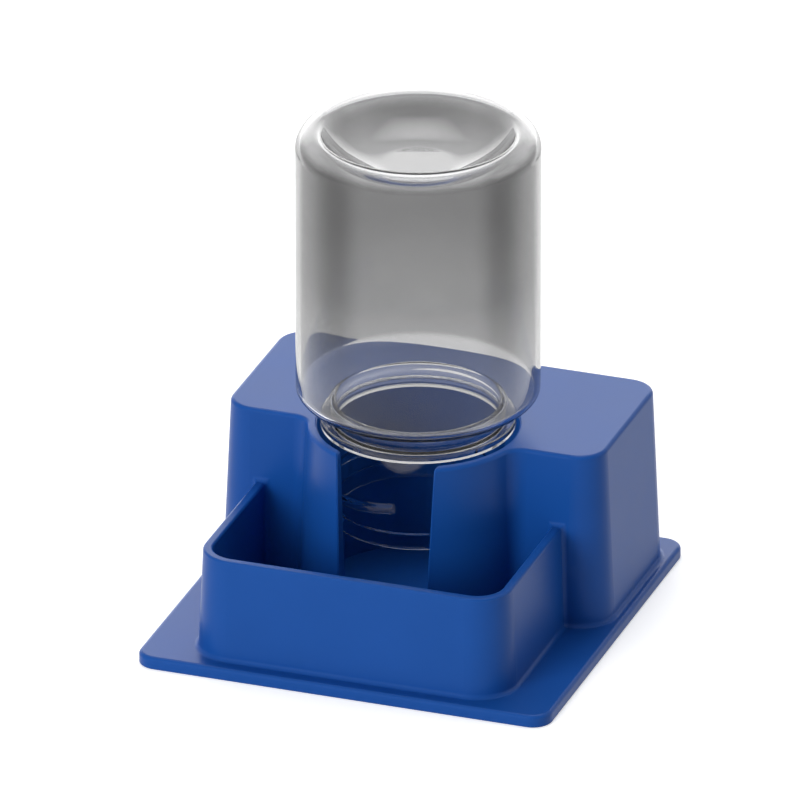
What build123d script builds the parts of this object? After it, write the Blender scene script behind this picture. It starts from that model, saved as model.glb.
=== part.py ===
from build123d import *
from math import acos, cos, degrees, hypot, radians, sin, tan
import os

# Reptile water dispenser: a moulded base with a trough and a slotted well, and a clear bottle that stands
# upside down in the well. Millimetres, +Z up, origin at the centre of the flange's underside, trough to -Y.

# Flange
flange_side = 106.4
flange_corner = 5.0
flange_thickness = 3.2
flange_top_round = 1.0
flange_bottom_round = 0.4

# Block, measured at its top face
block_width = 97.2
block_depth = 47.6
block_corner = 7.2
block_height = 48.4
block_front_y = -1.1
block_top_thickness = 2.5
top_edge_round = 1.0

# Moulding walls and drafts
wall = 2.4
outer_draft = 2.6
inner_draft = 1.0

# Trough, measured at its rim
trough_width = 79.2
trough_front_y = -47.8
trough_height = 29.5
trough_corner = 9.0
rim_round = 0.6
trough_end_round = 1.3
foot_round = 1.2
trough_floor_round = 1.5

# Well, the round tube that takes the bottle's neck
well_y = 5.0
well_top_radius = 24.9
well_floor_radius = 24.5
tube_radius = 27.2
tube_blend = 5.0
well_edge_round = 0.4
slot_top_width = 25.0
slot_floor_width = 21.8
slot_edge_round = 0.5
slot_edge_chamfer = 0.4
rib_count = 3
rib_thickness = 2.0
rib_inner_radius = 18.5
rib_height = 24.0

# Bottle body, with its closed end on top
bottle_radius = 30.0
bottle_wall = 1.3
bottle_top_z = 127.0
crest_round = 4.8
punt_edge_round = 2.4
punt_edge_angle = 53.0
punt_flat_radius = 8.0
shoulder_z = 54.0
shoulder_reach = 11.6
shoulder_rise = 5.1

# Bottle neck
neck_radius = 21.3
neck_bore_radius = 20.2
lip_z = rib_height
lip_radius = 21.8
lip_bead_height = 4.3
support_ring_radius = 24.0
support_ring_z = 48.4
support_ring_thickness = 2.2
neck_round = 0.4

# Thread lugs on the neck
lug_count = 4
lug_angle = 62.0
lug_first_angle = -147.0
lug_pitch = 18.0
lug_z = 31.6
lug_height = 1.1
lug_root_width = 2.6
lug_crest_width = 1.4
lug_overlap = 0.3

os.makedirs("parts", exist_ok=True)

block_spread = block_height * tan(radians(outer_draft))
trough_spread = trough_height * tan(radians(outer_draft))
block_centre_y = block_front_y + block_depth / 2
block_foot_front_y = block_front_y - block_spread
tube_foot_radius = tube_radius + block_spread
trough_foot_front_y = trough_front_y - trough_spread
trough_back_y = block_front_y + wall
well_axis = Axis((0, well_y, 0), (0, 0, 1))


def lies_flat(edge, z):
    """True where the whole edge is at this height."""
    box = edge.bounding_box()
    return abs(box.min.Z - z) < 0.01 and abs(box.max.Z - z) < 0.01


def in_trough(edge):
    """True for an edge of the trough's hollow."""
    middle = edge.center()
    inside_sides = abs(middle.X) < trough_width / 2 - wall / 2
    return inside_sides and trough_front_y + wall / 2 < middle.Y < block_front_y


def from_well_axis(edge):
    """Distance of the edge's middle from the well's axis."""
    middle = edge.center()
    return hypot(middle.X, middle.Y - well_y)


def on_slot_side(edge):
    """True for a long upright edge of the slot."""
    middle = edge.center()
    in_width = slot_floor_width / 2 < abs(middle.X) < slot_top_width / 2
    in_front = middle.Y < block_foot_front_y - wall
    return in_width and in_front and edge.bounding_box().size.Z > trough_height


def on_flange_rim(edge):
    """True for an edge of the flange's own outline."""
    box = edge.bounding_box()
    reach = max(-box.min.X, -box.min.Y, box.max.X, box.max.Y)
    return reach > flange_side / 2 - 2 * flange_top_round


# Outer form of the block and of the tube that swells out of its front
with BuildPart() as block_form:
    with BuildSketch():
        with Locations((0, block_centre_y)):
            RectangleRounded(
                block_width + 2 * block_spread,
                block_depth + 2 * block_spread,
                block_corner + block_spread,
            )
        with Locations((0, well_y)):
            Circle(tube_foot_radius)
        front_corners = vertices().filter_by(
            lambda v: abs(v.Y - block_foot_front_y) < 0.01 and abs(v.X) < tube_foot_radius
        )
        fillet(front_corners, tube_blend - block_spread)
    extrude(amount=block_height, taper=outer_draft)
    fillet(edges().group_by(Axis.Z)[-1], top_edge_round)

# Hollow under the block, open below, which leaves the tube standing
with BuildPart() as block_hollow:
    with BuildSketch():
        with Locations((0, block_centre_y)):
            RectangleRounded(
                block_width + 2 * (block_spread - wall),
                block_depth + 2 * (block_spread - wall),
                block_corner + block_spread - wall,
            )
    extrude(amount=block_height - block_top_thickness, taper=outer_draft)
    with BuildSketch():
        with Locations((0, well_y)):
            Circle(tube_radius)
    extrude(amount=block_height, mode=Mode.SUBTRACT)

# Hollow of the trough, in front of the block and the tube
with BuildPart() as trough_hollow:
    with BuildSketch(Plane.XY.offset(flange_thickness)):
        with Locations((0, (trough_front_y + wall + trough_back_y) / 2)):
            Rectangle(trough_width - 2 * wall, trough_back_y - trough_front_y - wall)
        fillet(vertices().group_by(Axis.Y)[0], trough_corner - wall)
    extrude(amount=trough_height - flange_thickness)
    sides = faces().filter_by(lambda f: abs(f.normal_at().Z) < 0.01)
    draft(sides, Plane.XY.offset(trough_height), -inner_draft)
    add(block_form.part, mode=Mode.SUBTRACT)

# Base: flange, block, trough and well in one moulding
with BuildPart() as base:
    with BuildSketch():
        RectangleRounded(flange_side, flange_side, flange_corner)
    extrude(amount=flange_thickness)
    fillet(edges().group_by(Axis.Z)[-1], flange_top_round)
    fillet(edges().group_by(Axis.Z)[0], flange_bottom_round)

    with BuildSketch():
        with Locations((0, (trough_back_y + trough_foot_front_y) / 2)):
            Rectangle(trough_width + 2 * trough_spread, trough_back_y - trough_foot_front_y)
        fillet(vertices().group_by(Axis.Y)[0], trough_corner + trough_spread)
    extrude(amount=trough_height, taper=outer_draft)
    add(block_form.part)
    add(trough_hollow.part, mode=Mode.SUBTRACT)

    rim_ends = edges().filter_by(
        lambda e: lies_flat(e, trough_height)
        and e.center().Y > block_front_y - wall
        and abs(e.center().X) > trough_width / 2 - wall
    )
    wall_ends = (
        edges()
        .filter_by(GeomType.LINE)
        .filter_by(
            lambda e: abs(e.tangent_at(0.5).Z) > 0.9
            and trough_width / 2 - 2 * wall < abs(e.center().X) < trough_width / 2 + trough_spread
            and block_foot_front_y - wall < e.center().Y < block_front_y
        )
    )
    fillet(rim_ends + wall_ends, trough_end_round)
    foot = edges().filter_by(
        lambda e: lies_flat(e, flange_thickness) and not in_trough(e) and not on_flange_rim(e)
    )
    fillet(foot, foot_round)
    trough_floor = edges().filter_by(lambda e: lies_flat(e, flange_thickness) and in_trough(e))
    fillet(trough_floor, trough_floor_round)
    rim = edges().filter_by(
        lambda e: lies_flat(e, trough_height) and e.center().Y < block_front_y - 2 * wall
    )
    fillet(rim, rim_round)

    # Well and its slot
    add(block_hollow.part, mode=Mode.SUBTRACT)
    with BuildSketch(Plane.XZ.offset(-well_y)):
        with BuildLine():
            mouth_foot = (well_top_radius, block_height - well_edge_round)
            mouth_edge = (well_top_radius + well_edge_round, block_height)
            RadiusArc(mouth_foot, mouth_edge, -well_edge_round)
            Polyline(
                mouth_edge,
                (0, block_height),
                (0, flange_thickness),
                (well_floor_radius, flange_thickness),
                mouth_foot,
            )
        make_face()
    revolve(axis=well_axis, mode=Mode.SUBTRACT)
    with BuildSketch(Plane.XZ.offset(-well_y)):
        with BuildLine():
            Polyline(
                (-slot_floor_width / 2, flange_thickness),
                (slot_floor_width / 2, flange_thickness),
                (slot_top_width / 2, block_height),
                (-slot_top_width / 2, block_height),
                close=True,
            )
        make_face()
    extrude(amount=tube_foot_radius + wall, mode=Mode.SUBTRACT)
    outer_sides = edges().filter_by(on_slot_side).filter_by(lambda e: from_well_axis(e) > tube_radius)
    chamfer(outer_sides, slot_edge_chamfer)
    inner_sides = edges().filter_by(on_slot_side).filter_by(lambda e: from_well_axis(e) < well_top_radius)
    fillet(inner_sides, slot_edge_round)

    # Ribs that hold the bottle's lip off the well's floor, none of them in the slot
    rib_reach = (well_top_radius + tube_radius) / 2 - rib_inner_radius
    with BuildSketch(Plane.XY.offset(flange_thickness)):
        with Locations((0, well_y)):
            with PolarLocations(rib_inner_radius, rib_count, start_angle=90):
                Rectangle(rib_reach, rib_thickness, align=(Align.MIN, Align.CENTER))
    extrude(amount=rib_height - flange_thickness)

# Thread lug, a short stretch of helix about the neck, starting on +X
with BuildPart() as lug:
    with BuildLine() as lug_path:
        Helix(lug_pitch, lug_pitch * lug_angle / 360, neck_radius - lug_overlap)
    with BuildSketch(Plane(lug_path.line @ 0, x_dir=(1, 0, 0), z_dir=lug_path.line % 0)):
        with BuildLine():
            Polyline(
                (0, -lug_root_width / 2),
                (lug_height + lug_overlap, -lug_crest_width / 2),
                (lug_height + lug_overlap, lug_crest_width / 2),
                (0, lug_root_width / 2),
                close=True,
            )
        make_face()
    sweep(path=lug_path.line, is_frenet=True)


def closed_end(inset):
    """Half outline of the bottle's body from the shoulder up to the axis, this far inside its skin."""
    shoulder_centre = (bottle_radius - shoulder_reach, shoulder_z + shoulder_rise)
    reach = shoulder_reach - inset
    rise = shoulder_rise - inset
    neck = neck_bore_radius if inset else neck_radius
    sweep_angle = degrees(acos((neck - shoulder_centre[0]) / reach))
    shoulder = EllipticalCenterArc(
        shoulder_centre, reach, rise, start_angle=-sweep_angle, arc_size=sweep_angle
    )
    crest_centre = (bottle_radius - crest_round, bottle_top_z - crest_round)
    side = Line(shoulder @ 1, (bottle_radius - inset, crest_centre[1]))
    crest = CenterArc(crest_centre, crest_round - inset, 0, 90)
    edge_centre = (crest_centre[0], bottle_top_z - punt_edge_round)
    punt_edge = CenterArc(edge_centre, punt_edge_round - inset, 90, punt_edge_angle)
    edge_end = punt_edge @ 1
    turn = radians(punt_edge_angle)
    bowl_radius = (edge_end.X - punt_flat_radius) / sin(turn)
    bowl_centre = (punt_flat_radius, edge_end.Y + bowl_radius * cos(turn))
    bowl = CenterArc(bowl_centre, bowl_radius, punt_edge_angle - 90, -punt_edge_angle)
    flat = Line(bowl @ 1, (0, bowl_centre[1] - bowl_radius))
    return shoulder @ 0, flat @ 1


# Bottle
with BuildPart() as bottle:
    with BuildSketch(Plane.XZ.offset(-well_y)) as outer_skin:
        with BuildLine():
            neck_top, pole = closed_end(0)
            ring_top_z = support_ring_z + support_ring_thickness
            Polyline(
                pole,
                (0, lip_z),
                (lip_radius, lip_z),
                (lip_radius, lip_z + lip_bead_height),
                (neck_radius, lip_z + lip_bead_height),
                (neck_radius, support_ring_z),
                (support_ring_radius, support_ring_z),
                (support_ring_radius, ring_top_z),
                (neck_radius, ring_top_z),
                neck_top,
            )
        make_face()
        rim_corners = vertices().filter_by(
            lambda v: v.X in (lip_radius, support_ring_radius)
        )
        fillet(rim_corners, neck_round)
    revolve(axis=well_axis)
    with Locations((0, well_y, lug_z)):
        with PolarLocations(0, lug_count, start_angle=lug_first_angle):
            add(lug.part)
    with BuildSketch(Plane.XZ.offset(-well_y)):
        with BuildLine():
            bore_top, inner_pole = closed_end(bottle_wall)
            Polyline(inner_pole, (0, lip_z), (neck_bore_radius, lip_z), bore_top)
        make_face()
    revolve(axis=well_axis, mode=Mode.SUBTRACT)

for name, piece in {"base": base, "bottle": bottle}.items():
    piece.part.label = name
    export_step(piece.part, f"parts/{name}.step")
    print(name, piece.part.is_valid, len(piece.part.solids()), round(piece.part.volume))
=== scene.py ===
from math import acos, cos, degrees, radians, sin, tan

import bmesh
import bpy
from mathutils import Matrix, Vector


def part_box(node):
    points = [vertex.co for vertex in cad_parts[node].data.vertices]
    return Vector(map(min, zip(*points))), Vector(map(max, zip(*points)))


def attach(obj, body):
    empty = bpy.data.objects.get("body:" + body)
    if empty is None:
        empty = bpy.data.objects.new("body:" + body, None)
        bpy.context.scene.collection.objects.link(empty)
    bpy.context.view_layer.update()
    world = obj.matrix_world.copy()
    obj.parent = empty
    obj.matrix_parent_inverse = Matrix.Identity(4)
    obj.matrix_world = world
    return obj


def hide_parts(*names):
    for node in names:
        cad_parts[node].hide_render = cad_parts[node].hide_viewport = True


# Reptile water dispenser: a blue moulded base and a clear bottle upside down in its well.
# Metres, +Z up, trough to -Y.

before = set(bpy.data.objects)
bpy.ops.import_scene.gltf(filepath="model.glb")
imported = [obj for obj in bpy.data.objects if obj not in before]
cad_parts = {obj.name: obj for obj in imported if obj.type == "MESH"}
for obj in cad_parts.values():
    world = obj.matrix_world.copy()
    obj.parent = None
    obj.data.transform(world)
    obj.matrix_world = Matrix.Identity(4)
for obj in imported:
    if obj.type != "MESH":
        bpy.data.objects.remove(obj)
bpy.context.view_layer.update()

MM = 0.001
bottle_low, bottle_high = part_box("bottle")

# Bottle, driven by its box
BODY_RADIUS = (bottle_high.x - bottle_low.x) / 2
WELL_Y = (bottle_low.y + bottle_high.y) / 2
TOP_Z = bottle_high.z
LIP_Z = bottle_low.z
WALL = 1.3 * MM
CREST_ROUND = 4.8 * MM
PUNT_EDGE_ROUND = 2.4 * MM
PUNT_EDGE_ANGLE = 53.0
PUNT_FLAT_RADIUS = 8.0 * MM
SHOULDER_Z = 54.0 * MM
SHOULDER_REACH = 11.6 * MM
SHOULDER_RISE = 5.1 * MM

# Bottle neck
NECK_RADIUS = 21.3 * MM
BORE_RADIUS = 20.2 * MM
LIP_RADIUS = 21.8 * MM
BEAD_HEIGHT = 4.3 * MM
RING_RADIUS = 24.0 * MM
RING_Z = 48.4 * MM
RING_THICKNESS = 2.2 * MM
RING_ROUND = 0.3 * MM
BEAD_ROUND = 0.2 * MM
LIP_ROUND = 0.6 * MM

# Thread lugs on the neck
LUG_COUNT = 4
LUG_ANGLE = 62.0
LUG_FIRST_ANGLE = -147.0
LUG_PITCH = 18.0 * MM
LUG_Z = 31.6 * MM
LUG_HEIGHT = 1.05 * MM
LUG_ROOT_WIDTH = 2.8 * MM
LUG_CREST_WIDTH = 1.0 * MM
LUG_END = 5.0

# Fineness of the bottle's mesh
LINE_STEP = 2.0 * MM
THREAD_STEP = 0.3 * MM
PUNT_STEPS = 28
PUNT_EDGE_STEPS = 12
CREST_STEPS = 24
SHOULDER_STEPS = 24
CORNER_STEPS = 6
TURN_STEPS = 288
TINY = 0.01 * MM

# Blue plastic of the base
BLUE_DEEP = (0.006, 0.064, 0.285, 1)
BLUE_PALE = (0.009, 0.074, 0.325, 1)
BASE_ROUGHNESS = 0.34
BASE_ROUGHNESS_SPREAD = 0.03
BASE_SPECULAR = 0.14
CLOUD_SCALE = 60.0
CLOUD_DETAIL = 3.0
GRAIN_SCALE = 2600.0
GRAIN_DETAIL = 2.0
GRAIN_STRENGTH = 0.1
GRAIN_HEIGHT = 0.04 * MM

# Clear plastic of the bottle: pairs of how far the wall is turned away from the eye, from 0 to 1, and the
# share of light that it lets through there. The ramps paint shade into the glass's colour: a painted dark
# outline at the edges of the clear parts, painted shade in the punt, and painted dark bands and lighter
# rims in the body
CLEAR_WITH_PAINTED_EDGE_SHADE = ((0.0, 0.97), (0.57, 0.9), (0.76, 0.7), (0.86, 0.2), (1.0, 0.0))
# Painted shade in the punt's middle and at its edge
PUNT_PAINTED_SHADE_SHARES = ((0.0, 0.34), (0.12, 0.44), (0.4, 0.9), (0.57, 0.98), (0.78, 1.0), (0.96, 0.95), (1.0, 0.4))
# Painted grey of the body, with painted dark bands and lighter rims by the turn of the wall
PAINTED_GREY_SHARES = ((0.0, 0.38), (0.2, 0.36), (0.3, 0.18), (0.38, 0.17), (0.48, 0.28), (0.6, 0.4), (1.0, 0.2))

# Where the body's wall is painted grey, standing in for a grey backdrop seen through the clear bottle:
# from the shoulder up to the crest, weaker at its foot
PAINTED_GREY_LOW = 58.0 * MM
PAINTED_GREY_LOW_FADE = 2.0 * MM
PAINTED_GREY_HIGH = 126.0 * MM
PAINTED_GREY_HIGH_FADE = 2.8 * MM
PAINTED_GREY_INNER_RADIUS = 26.2 * MM
PAINTED_GREY_OUTER_RADIUS = 28.6 * MM
PAINTED_GREY_FOOT_SHARE = 0.55
PAINTED_GREY_FULL = 92.0 * MM

# Where the punt has its own tint, painted shade in the dish
PUNT_LOW = 110.0 * MM
PUNT_LOW_FADE = 5.0 * MM
PUNT_INNER_RADIUS = 22.0 * MM
PUNT_OUTER_RADIUS = 24.5 * MM

# Skin of the bottle
BOTTLE_IOR = 1.47
BOTTLE_GLOSS = (0.75, 0.75, 0.75, 1)
LAMP_SHARE = (0.94, 0.94, 0.94, 1)
BLUENESS = 1.005
RIPPLE_SCALE = 30.0
RIPPLE_DETAIL = 1.0
RIPPLE_STRENGTH = 0.03
RIPPLE_HEIGHT = 0.2 * MM

# Studio
AMBIENT = 0.18
FLOOR_LIFT = 0.5
FLOOR_RADIUS = 1.6
FLOOR_SIDES = 96
FLOOR_DEEP = (0.80, 0.80, 0.80, 1)
FLOOR_PALE = (0.84, 0.84, 0.84, 1)
FLOOR_CLOUD_SCALE = 8.0

# Softboxes: azimuth and elevation in degrees, distance, width, height, power in watts, and whether gloss
# shows the lamp
SOFTBOXES = {
    "front_softbox": (-20, 18, 1.2, 0.9, 0.9, 11, False),
    "top_softbox": (199, 72, 1.2, 1.0, 1.0, 7, True),
    "back_softbox": (199, 15, 1.4, 2.2, 0.9, 9, True),
    "side_softbox": (110, 25, 1.2, 0.7, 0.7, 1.6, True),
}

# A softbox's fall-off x (1 - x) has its top of 1/4 brought to 1, and its mean, 2/3 squared, brought to 1
FALL_OFF_TOP = 4.0
FALL_OFF_MEAN = 9 / 4

# Camera
AZIMUTH = 19.385
ELEVATION = 25.274
DISTANCE = 5.0
LENS = 920.0
SENSOR_WIDTH = 36.0
CLIP_END = 4 * DISTANCE
TARGET = Vector((-4.709 * MM, 5.0 * MM, 53.677 * MM))


def node_tree(name):
    """A new material and its emptied node tree."""
    made = bpy.data.materials.new(name)
    made.use_nodes = True
    made.node_tree.nodes.clear()
    return made, made.node_tree


def add_node(tree, kind, links=None, **values):
    """A node with its settings, its plain input values and its linked inputs."""
    node = tree.nodes.new(kind)
    for key, value in values.items():
        setattr(node, key, value)
    for key, value in (links or {}).items():
        if isinstance(value, bpy.types.NodeSocket):
            tree.links.new(value, node.inputs[key])
        else:
            node.inputs[key].default_value = value
    return node


def calculated(tree, operation, first, second):
    """The result of one calculation with two numbers."""
    return add_node(tree, "ShaderNodeMath", {0: first, 1: second}, operation=operation).outputs["Value"]


def share_between(tree, value, start, end, first=0.0, kind="SMOOTHSTEP"):
    """A share that goes from first to 1 as the value goes from start to end."""
    share = add_node(
        tree,
        "ShaderNodeMapRange",
        {"Value": value, "From Min": start, "From Max": end, "To Min": first},
        interpolation_type=kind,
    )
    return share.outputs["Result"]


def mixed_colour(tree, share, first, second):
    """A colour that goes from first to second as the share goes from 0 to 1."""
    mix = add_node(tree, "ShaderNodeMix", {0: share, 6: first, 7: second}, data_type="RGBA")
    return mix.outputs[2]


def two_colours(tree, share, first, second):
    """A colour ramp from first to second."""
    ramp = add_node(tree, "ShaderNodeValToRGB", {"Fac": share})
    ramp.color_ramp.elements[0].color = first
    ramp.color_ramp.elements[1].color = second
    return ramp.outputs["Color"]


def arc(centre, reach, rise, start, turn, steps):
    """Points of an elliptical arc, in degrees, first and last included."""
    points = []
    for step in range(steps + 1):
        angle = radians(start + turn * step / steps)
        points.append((centre[0] + reach * cos(angle), centre[1] + rise * sin(angle)))
    return points


def line(start, end, step):
    """Points from start to end, both included, about a step apart."""
    length = ((end[0] - start[0]) ** 2 + (end[1] - start[1]) ** 2) ** 0.5
    count = max(1, round(length / step))
    return [
        (start[0] + (end[0] - start[0]) * i / count, start[1] + (end[1] - start[1]) * i / count)
        for i in range(count + 1)
    ]


def closed_end(inset):
    """Half outline from the pole of the domed-in end, over the crest and down to the neck."""
    body_radius = BODY_RADIUS - inset
    crest_radius = CREST_ROUND - inset
    crest_centre = (BODY_RADIUS - CREST_ROUND, TOP_Z - CREST_ROUND)
    edge_centre = (crest_centre[0], TOP_Z - PUNT_EDGE_ROUND)
    edge_radius = PUNT_EDGE_ROUND - inset
    turn = radians(PUNT_EDGE_ANGLE)
    edge_end = (edge_centre[0] - edge_radius * sin(turn), edge_centre[1] + edge_radius * cos(turn))
    bowl_radius = (edge_end[0] - PUNT_FLAT_RADIUS) / sin(turn)
    bowl_centre = (PUNT_FLAT_RADIUS, edge_end[1] + bowl_radius * cos(turn))
    pole_z = bowl_centre[1] - bowl_radius
    shoulder_centre = (BODY_RADIUS - SHOULDER_REACH, SHOULDER_Z + SHOULDER_RISE)
    reach = SHOULDER_REACH - inset
    rise = SHOULDER_RISE - inset
    neck = BORE_RADIUS if inset else NECK_RADIUS
    shoulder_turn = degrees(acos((neck - shoulder_centre[0]) / reach))
    points = line((0, pole_z), (PUNT_FLAT_RADIUS, pole_z), LINE_STEP)
    points += arc(bowl_centre, bowl_radius, bowl_radius, -90, PUNT_EDGE_ANGLE, PUNT_STEPS)
    points += arc(
        edge_centre, edge_radius, edge_radius, 90 + PUNT_EDGE_ANGLE, -PUNT_EDGE_ANGLE, PUNT_EDGE_STEPS
    )
    points += arc(crest_centre, crest_radius, crest_radius, 90, -90, CREST_STEPS)
    points += line((body_radius, crest_centre[1]), (body_radius, shoulder_centre[1]), LINE_STEP)
    points += arc(shoulder_centre, reach, rise, 0, -shoulder_turn, SHOULDER_STEPS)
    return points


def rounded(points, radii):
    """The outline with each inner corner of these points rounded by its own radius."""
    made = [points[0]]
    for before, corner, after, radius in zip(points, points[1:], points[2:], radii):
        a = Vector(before) - Vector(corner)
        b = Vector(after) - Vector(corner)
        half = a.angle(b) / 2
        reach = radius / tan(half)
        start = Vector(corner) + a.normalized() * reach
        end = Vector(corner) + b.normalized() * reach
        centre = Vector(corner) + (a.normalized() + b.normalized()).normalized() * radius / sin(half)
        for step in range(CORNER_STEPS + 1):
            swing = (start - centre).lerp(end - centre, step / CORNER_STEPS).normalized() * radius
            made.append(tuple(centre + swing))
    made.append(points[-1])
    return made


def without_doubles(points):
    """The outline with repeated points left out."""
    made = [points[0]]
    for point in points[1:]:
        if (Vector(point) - Vector(made[-1])).length > TINY:
            made.append(point)
    return made


def bottle_outline():
    """Whole outline of the bottle's wall from the outer pole round the lip to the inner pole."""
    outer = closed_end(0)
    ring_top = RING_Z + RING_THICKNESS
    bead_top = LIP_Z + BEAD_HEIGHT
    neck = rounded(
        [
            outer[-1],
            (NECK_RADIUS, ring_top),
            (RING_RADIUS, ring_top),
            (RING_RADIUS, RING_Z),
            (NECK_RADIUS, RING_Z),
            (NECK_RADIUS, bead_top),
            (LIP_RADIUS, bead_top),
            (LIP_RADIUS, LIP_Z),
            (BORE_RADIUS, LIP_Z),
            (BORE_RADIUS, bead_top),
        ],
        (RING_ROUND, RING_ROUND, RING_ROUND, RING_ROUND, BEAD_ROUND, BEAD_ROUND, LIP_ROUND, LIP_ROUND),
    )
    threaded = [p for p in neck if abs(p[0] - NECK_RADIUS) < TINY and bead_top < p[1] < RING_Z]
    first = neck.index(threaded[0])
    last = neck.index(threaded[-1])
    neck = neck[:first] + line(threaded[0], threaded[-1], THREAD_STEP) + neck[last + 1:]
    inner = closed_end(WALL)
    inner.reverse()
    bore = line(neck[-1], inner[0], LINE_STEP)
    return without_doubles(outer[:-1] + neck + bore[1:-1] + inner)


def smooth_step(value):
    """Rises from 0 to 1 as value goes from 0 to 1, level at both ends."""
    value = min(max(value, 0), 1)
    return value * value * (3 - 2 * value)


def lug_rise(angle, z):
    """How far a thread lug stands out of the neck at this angle in degrees and this height."""
    turned = (angle - LUG_FIRST_ANGLE) % (360 / LUG_COUNT)
    if turned > LUG_ANGLE:
        return 0
    middle = LUG_Z + LUG_PITCH * turned / 360
    slope = (LUG_ROOT_WIDTH - LUG_CREST_WIDTH) / 2
    across = smooth_step((LUG_ROOT_WIDTH / 2 - abs(z - middle)) / slope)
    along = smooth_step(min(turned, LUG_ANGLE - turned) / LUG_END)
    return LUG_HEIGHT * across * along


def make_bottle():
    """The bottle as one closed wall, turned about the well's axis."""
    mesh = bpy.data.meshes.new("clear_bottle")
    shape = bmesh.new()
    rings = []
    on_outside = True
    for radius, z in bottle_outline():
        on_outside = on_outside and z > LIP_Z + LIP_ROUND
        if radius < TINY:
            rings.append([shape.verts.new((0, WELL_Y, z))])
            continue
        threaded = on_outside and abs(radius - NECK_RADIUS) < TINY and z < RING_Z
        ring = []
        for step in range(TURN_STEPS):
            angle = 360 * step / TURN_STEPS
            out = radius + (lug_rise(angle, z) if threaded else 0)
            turn = radians(angle)
            ring.append(shape.verts.new((out * cos(turn), WELL_Y + out * sin(turn), z)))
        rings.append(ring)
    for upper, lower in zip(rings, rings[1:]):
        for step in range(TURN_STEPS):
            after = (step + 1) % TURN_STEPS
            if len(upper) == 1:
                shape.faces.new((upper[0], lower[step], lower[after]))
            elif len(lower) == 1:
                shape.faces.new((upper[step], lower[0], upper[after]))
            else:
                shape.faces.new((upper[step], lower[step], lower[after], upper[after]))
    bmesh.ops.recalc_face_normals(shape, faces=shape.faces)
    for face in shape.faces:
        face.smooth = True
    shape.to_mesh(mesh)
    shape.free()
    made = bpy.data.objects.new("clear_bottle", mesh)
    bpy.context.scene.collection.objects.link(made)
    made.data.materials.append(clear_plastic())
    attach(made, "bottle")
    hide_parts("bottle")


def blue_plastic():
    """Injection-moulded blue plastic with a satin skin."""
    made, tree = node_tree("blue_plastic")
    place = add_node(tree, "ShaderNodeTexCoord").outputs["Object"]
    clouds = add_node(
        tree,
        "ShaderNodeTexNoise",
        {"Vector": place, "Scale": CLOUD_SCALE, "Detail": CLOUD_DETAIL},
    ).outputs["Fac"]
    grain = add_node(
        tree,
        "ShaderNodeTexNoise",
        {"Vector": place, "Scale": GRAIN_SCALE, "Detail": GRAIN_DETAIL},
    )
    rough = add_node(
        tree,
        "ShaderNodeMapRange",
        {
            "Value": clouds,
            "To Min": BASE_ROUGHNESS - BASE_ROUGHNESS_SPREAD,
            "To Max": BASE_ROUGHNESS + BASE_ROUGHNESS_SPREAD,
        },
    )
    bump = add_node(
        tree,
        "ShaderNodeBump",
        {"Height": grain.outputs["Fac"], "Strength": GRAIN_STRENGTH, "Distance": GRAIN_HEIGHT},
    )
    skin = add_node(
        tree,
        "ShaderNodeBsdfPrincipled",
        {
            "Base Color": two_colours(tree, clouds, BLUE_DEEP, BLUE_PALE),
            "Roughness": rough.outputs["Result"],
            "Normal": bump.outputs["Normal"],
            "Specular IOR Level": BASE_SPECULAR,
        },
    )
    add_node(tree, "ShaderNodeOutputMaterial", {"Surface": skin.outputs["BSDF"]})
    return made


def tint_by_angle(tree, facing, shares):
    """A grey tint from the share of light that a wall lets through at each turn away from the eye, with
    the painted edge shade of its ramp.
    """
    tint = add_node(tree, "ShaderNodeValToRGB", {"Fac": facing})
    steps = tint.color_ramp.elements
    while len(steps) < len(shares):
        steps.new(1.0)
    for step, (turn, share) in zip(steps, shares):
        step.position = turn
        step.color = (share, share, share * BLUENESS, 1)
    return tint.outputs["Color"]


def distance_from_axis(tree, place):
    """How far a place is from the bottle's upright axis."""
    off_axis = add_node(tree, "ShaderNodeVectorMath", {0: place, 1: (0, -WELL_Y, 0)}, operation="ADD")
    flat = add_node(
        tree,
        "ShaderNodeVectorMath",
        {0: off_axis.outputs["Vector"], 1: (1, 1, 0)},
        operation="MULTIPLY",
    )
    length = add_node(tree, "ShaderNodeVectorMath", {0: flat.outputs["Vector"]}, operation="LENGTH")
    return length.outputs["Value"]


def bottle_tint_and_painted_shade(tree, place):
    """The bottle's tint: clear at the shoulder, neck and crest with a painted dark outline, painted grey
    with painted dark bands in the body's wall, standing in for a grey backdrop seen through it, and
    painted shade in the punt.
    """
    height = add_node(tree, "ShaderNodeSeparateXYZ", {"Vector": place}).outputs["Z"]
    radius = distance_from_axis(tree, place)
    facing = add_node(tree, "ShaderNodeLayerWeight", {"Blend": 0.5}).outputs["Facing"]
    # Painted grey standing in for a grey backdrop seen through the body, weaker towards its foot
    painted_grey = share_between(tree, height, PAINTED_GREY_LOW, PAINTED_GREY_LOW + PAINTED_GREY_LOW_FADE)
    for limit in (
        share_between(tree, height, PAINTED_GREY_HIGH, PAINTED_GREY_HIGH - PAINTED_GREY_HIGH_FADE),
        share_between(tree, radius, PAINTED_GREY_INNER_RADIUS, PAINTED_GREY_OUTER_RADIUS),
        share_between(tree, height, PAINTED_GREY_LOW, PAINTED_GREY_FULL, PAINTED_GREY_FOOT_SHARE, "LINEAR"),
    ):
        painted_grey = calculated(tree, "MULTIPLY", painted_grey, limit)
    # Where the punt's painted shade takes over
    in_punt = calculated(
        tree,
        "MULTIPLY",
        share_between(tree, height, PUNT_LOW, PUNT_LOW + PUNT_LOW_FADE),
        share_between(tree, radius, PUNT_OUTER_RADIUS, PUNT_INNER_RADIUS),
    )
    # Painted dark outline on the clear parts, and painted shade in the punt
    clear = mixed_colour(
        tree,
        in_punt,
        tint_by_angle(tree, facing, CLEAR_WITH_PAINTED_EDGE_SHADE),
        tint_by_angle(tree, facing, PUNT_PAINTED_SHADE_SHARES),
    )
    return mixed_colour(tree, painted_grey, clear, tint_by_angle(tree, facing, PAINTED_GREY_SHARES))


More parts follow.
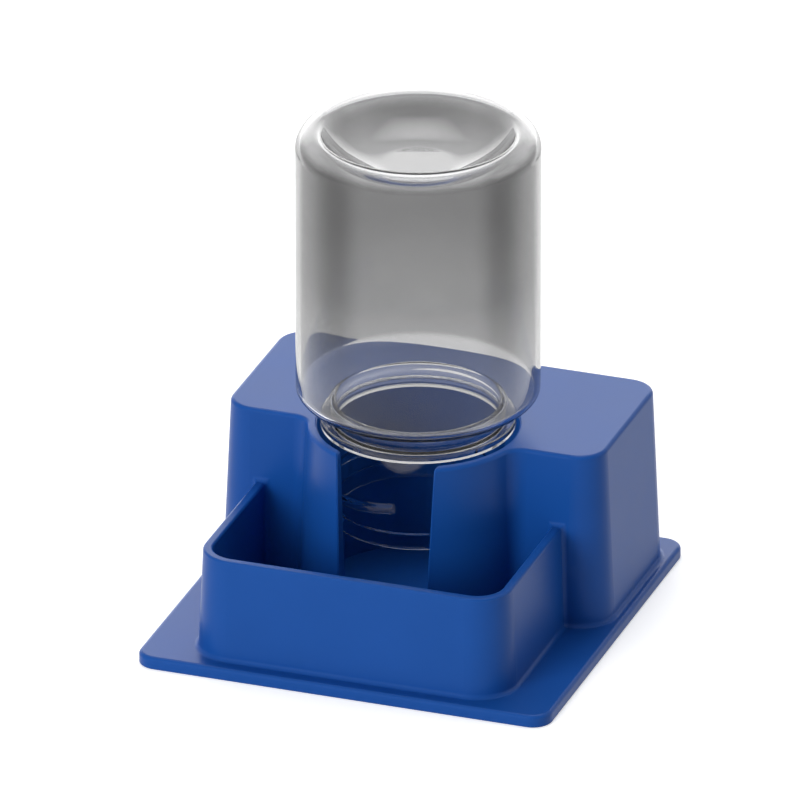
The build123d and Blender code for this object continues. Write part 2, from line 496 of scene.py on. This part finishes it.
def clear_plastic():
    """Blow-moulded clear plastic with a slight ripple, which lets lamp light straight through; its colour
    carries the painted grey and painted shade of the bottle's tint.
    """
    made, tree = node_tree("clear_plastic")
    place = add_node(tree, "ShaderNodeTexCoord").outputs["Object"]
    ripple = add_node(
        tree,
        "ShaderNodeTexNoise",
        {"Vector": place, "Scale": RIPPLE_SCALE, "Detail": RIPPLE_DETAIL},
    )
    bump = add_node(
        tree,
        "ShaderNodeBump",
        {"Height": ripple.outputs["Fac"], "Strength": RIPPLE_STRENGTH, "Distance": RIPPLE_HEIGHT},
    )
    skin = add_node(
        tree,
        "ShaderNodeBsdfPrincipled",
        {
            "Base Color": bottle_tint_and_painted_shade(tree, place),
            "Roughness": 0.0,
            "Normal": bump.outputs["Normal"],
            "IOR": BOTTLE_IOR,
            "Specular Tint": BOTTLE_GLOSS,
            "Transmission Weight": 1.0,
        },
    )
    lamp_side = add_node(tree, "ShaderNodeBsdfTransparent", {"Color": LAMP_SHARE})
    both = add_node(
        tree,
        "ShaderNodeMixShader",
        {
            0: add_node(tree, "ShaderNodeLightPath").outputs["Is Shadow Ray"],
            1: skin.outputs["BSDF"],
            2: lamp_side.outputs["BSDF"],
        },
    )
    add_node(tree, "ShaderNodeOutputMaterial", {"Surface": both.outputs["Shader"]})
    return made


def seen_directly(tree):
    """1 where the camera, gloss or glass sees the background, and 0 where it would light the object."""
    path = add_node(tree, "ShaderNodeLightPath").outputs
    first = calculated(tree, "MAXIMUM", path["Is Camera Ray"], path["Is Glossy Ray"])
    return calculated(tree, "MAXIMUM", first, path["Is Transmission Ray"])


def make_world():
    """White background, and a weaker soft light on the object."""
    world = bpy.data.worlds.new("studio")
    world.use_nodes = True
    tree = world.node_tree
    tree.nodes.clear()
    strength = share_between(tree, seen_directly(tree), 0.0, 1.0, AMBIENT, "LINEAR")
    glow = add_node(tree, "ShaderNodeBackground", {"Color": (1, 1, 1, 1), "Strength": strength})
    add_node(tree, "ShaderNodeOutputWorld", {"Surface": glow.outputs["Background"]})
    bpy.context.scene.world = world


def floor_material():
    """Pale floor that takes the object's shadow and meets the background in white."""
    made, tree = node_tree("floor")
    place = add_node(tree, "ShaderNodeTexCoord").outputs["Object"]
    clouds = add_node(tree, "ShaderNodeTexNoise", {"Vector": place, "Scale": FLOOR_CLOUD_SCALE})
    colour = two_colours(tree, clouds.outputs["Fac"], FLOOR_DEEP, FLOOR_PALE)
    matte = add_node(tree, "ShaderNodeBsdfDiffuse", {"Color": colour})
    lift = calculated(tree, "MULTIPLY", seen_directly(tree), FLOOR_LIFT)
    glow = add_node(tree, "ShaderNodeEmission", {"Strength": lift})
    both = add_node(tree, "ShaderNodeAddShader", {0: matte.outputs["BSDF"], 1: glow.outputs["Emission"]})
    add_node(tree, "ShaderNodeOutputMaterial", {"Surface": both.outputs["Shader"]})
    return made


def make_floor():
    """Wide round floor under the object."""
    mesh = bpy.data.meshes.new("floor")
    shape = bmesh.new()
    bmesh.ops.create_circle(shape, cap_ends=True, segments=FLOOR_SIDES, radius=FLOOR_RADIUS)
    shape.to_mesh(mesh)
    shape.free()
    made = bpy.data.objects.new("floor", mesh)
    bpy.context.scene.collection.objects.link(made)
    made.data.materials.append(floor_material())


def fall_off(tree, across):
    """1 in the middle of a softbox and 0 at both of its edges, from a place that goes from 0 to 1."""
    rest = calculated(tree, "SUBTRACT", 1.0, across)
    bell = calculated(tree, "MULTIPLY", across, rest)
    return calculated(tree, "MULTIPLY", bell, FALL_OFF_TOP)


def soft_glow(light):
    """Light that is strongest in the middle of its softbox and fades to the edges."""
    light.use_nodes = True
    tree = light.node_tree
    tree.nodes.clear()
    place = add_node(tree, "ShaderNodeNewGeometry").outputs["Parametric"]
    split = add_node(tree, "ShaderNodeSeparateXYZ", {"Vector": place}).outputs
    strength = calculated(tree, "MULTIPLY", fall_off(tree, split["X"]), fall_off(tree, split["Y"]))
    even = calculated(tree, "MULTIPLY", strength, FALL_OFF_MEAN)
    glow = add_node(tree, "ShaderNodeEmission", {"Strength": even})
    add_node(tree, "ShaderNodeOutputLight", {"Surface": glow.outputs["Emission"]})


def look_at_object(made, azimuth, elevation, distance):
    """Puts a lamp or camera round the object; azimuth 0 is in front of the trough, 90 to the right."""
    turn = radians(azimuth)
    rise = radians(elevation)
    away = Vector((sin(turn) * cos(rise), -cos(turn) * cos(rise), sin(rise)))
    made.location = TARGET + away * distance
    made.rotation_euler = away.to_track_quat("Z", "Y").to_euler()


def make_softbox(name, azimuth, elevation, distance, width, height, power, in_gloss):
    """Rectangular lamp that faces the object."""
    light = bpy.data.lights.new(name, "AREA")
    light.shape = "RECTANGLE"
    light.size = width
    light.size_y = height
    light.energy = power
    soft_glow(light)
    made = bpy.data.objects.new(name, light)
    bpy.context.scene.collection.objects.link(made)
    look_at_object(made, azimuth, elevation, distance)
    made.visible_camera = False
    made.visible_glossy = in_gloss
    made.visible_transmission = False


def make_camera():
    """Long lens at the photograph's viewing angle."""
    camera = bpy.data.cameras.new("camera")
    camera.sensor_width = SENSOR_WIDTH
    camera.lens = LENS
    camera.clip_end = CLIP_END
    made = bpy.data.objects.new("camera", camera)
    bpy.context.scene.collection.objects.link(made)
    look_at_object(made, AZIMUTH, ELEVATION, DISTANCE)
    bpy.context.scene.camera = made


bpy.context.scene.view_settings.view_transform = "Standard"
make_camera()
make_world()
make_floor()
for softbox_name, softbox in SOFTBOXES.items():
    make_softbox(softbox_name, *softbox)

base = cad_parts["base"]
base.data.materials.clear()
base.data.materials.append(blue_plastic())
make_bottle()
